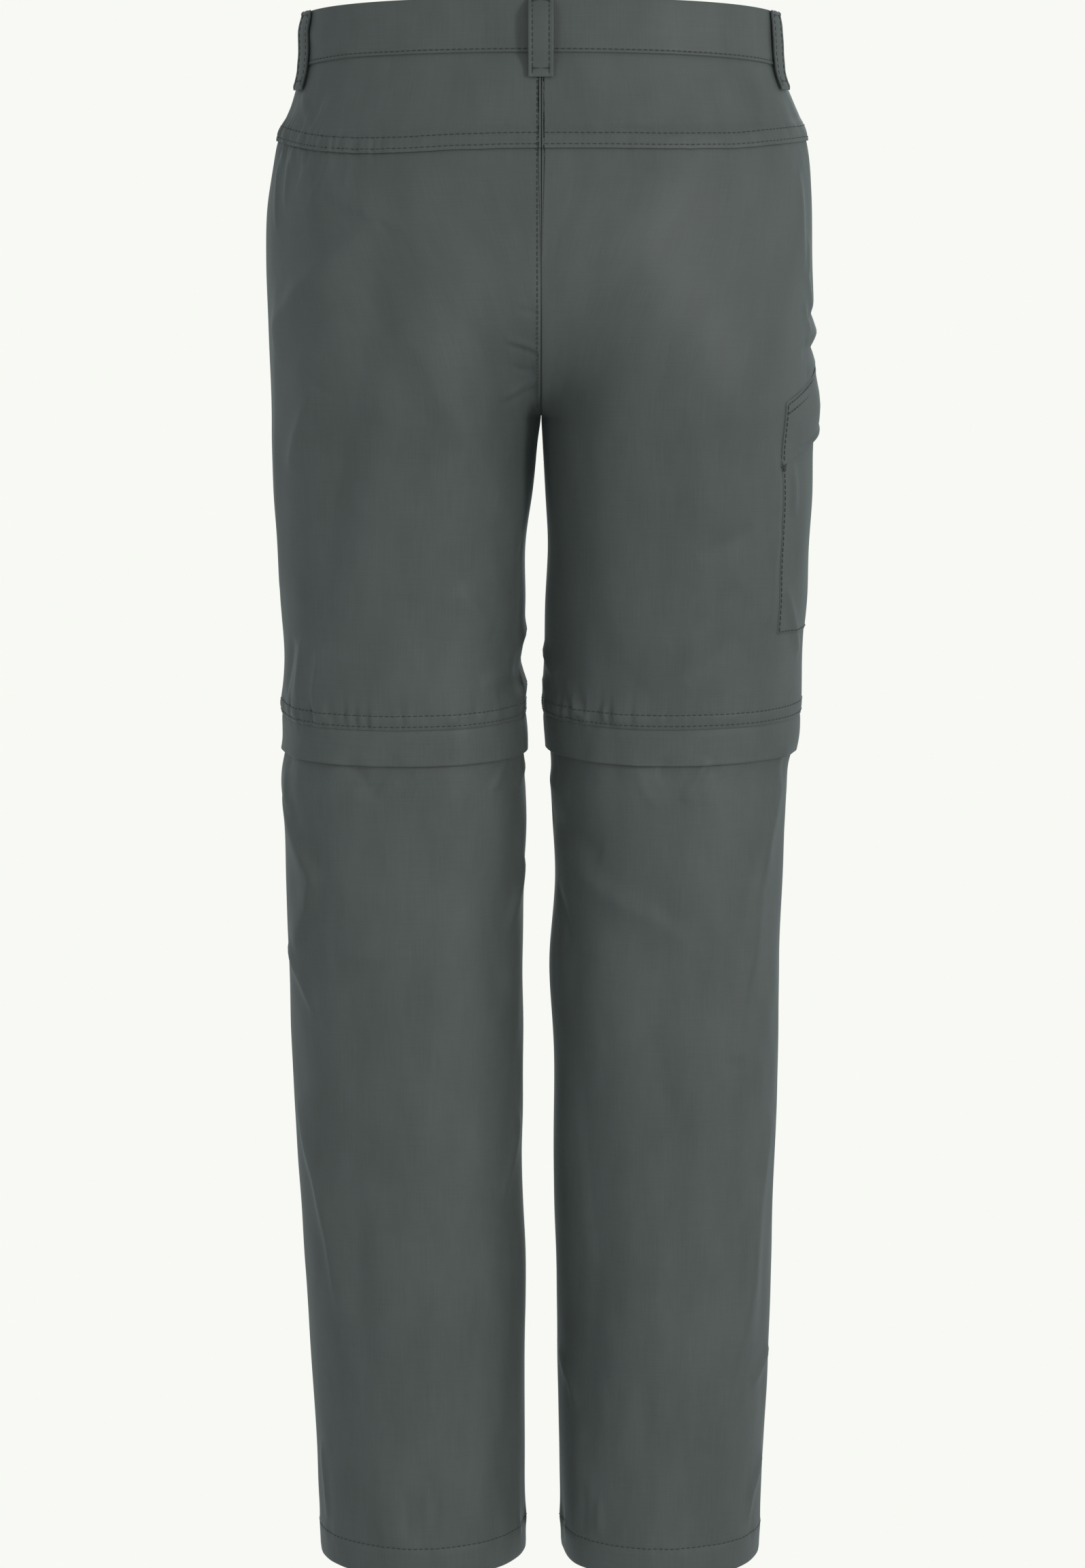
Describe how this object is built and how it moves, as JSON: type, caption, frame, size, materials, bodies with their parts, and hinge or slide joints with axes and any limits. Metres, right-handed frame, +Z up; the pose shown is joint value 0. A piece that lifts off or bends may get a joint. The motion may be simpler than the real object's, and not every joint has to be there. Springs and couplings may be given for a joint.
{
  "type": "convertible zip-off trousers",
  "caption": "Straight trousers, hollow as if worn, with a yoked back, belt loops, a side pocket and lower legs that come off at zips under storm flaps at the knees.",
  "frame": {"origin": "centre of the waist at the waistband's mid-height, where the wearer holds the trousers up", "axes": "+Z up, front of the trousers towards -Y, the wearer's left towards +X"},
  "size_m": [0.3667, 0.2493, 1.0503],
  "materials": {
    "cloth": "matt synthetic plain weave with a soft sheen",
    "zip_tape": "woven tape",
    "slider_metal": "satin",
    "button_plastic": "satin"
  },
  "bodies": {
    "root": {"waistband": "cloth", "yoke_left": "cloth", "back_left": "cloth", "front_left": "cloth", "knee_flap_left": "cloth", "knee_zip_left": "zip_tape", "zip_slider_left": "slider_metal", "lower_back_left": "cloth", "lower_front_left": "cloth", "loop_side_left": "cloth", "loop_front_left": "cloth", "yoke_right": "cloth", "back_right": "cloth", "front_right": "cloth", "knee_flap_right": "cloth", "knee_zip_right": "zip_tape", "zip_slider_right": "slider_metal", "lower_back_right": "cloth", "lower_front_right": "cloth", "loop_side_right": "cloth", "loop_front_right": "cloth", "loop_back": "cloth", "pocket": "cloth", "pocket_flap": "cloth", "fly": "cloth", "button": "button_plastic"}
  },
  "joints": []
}
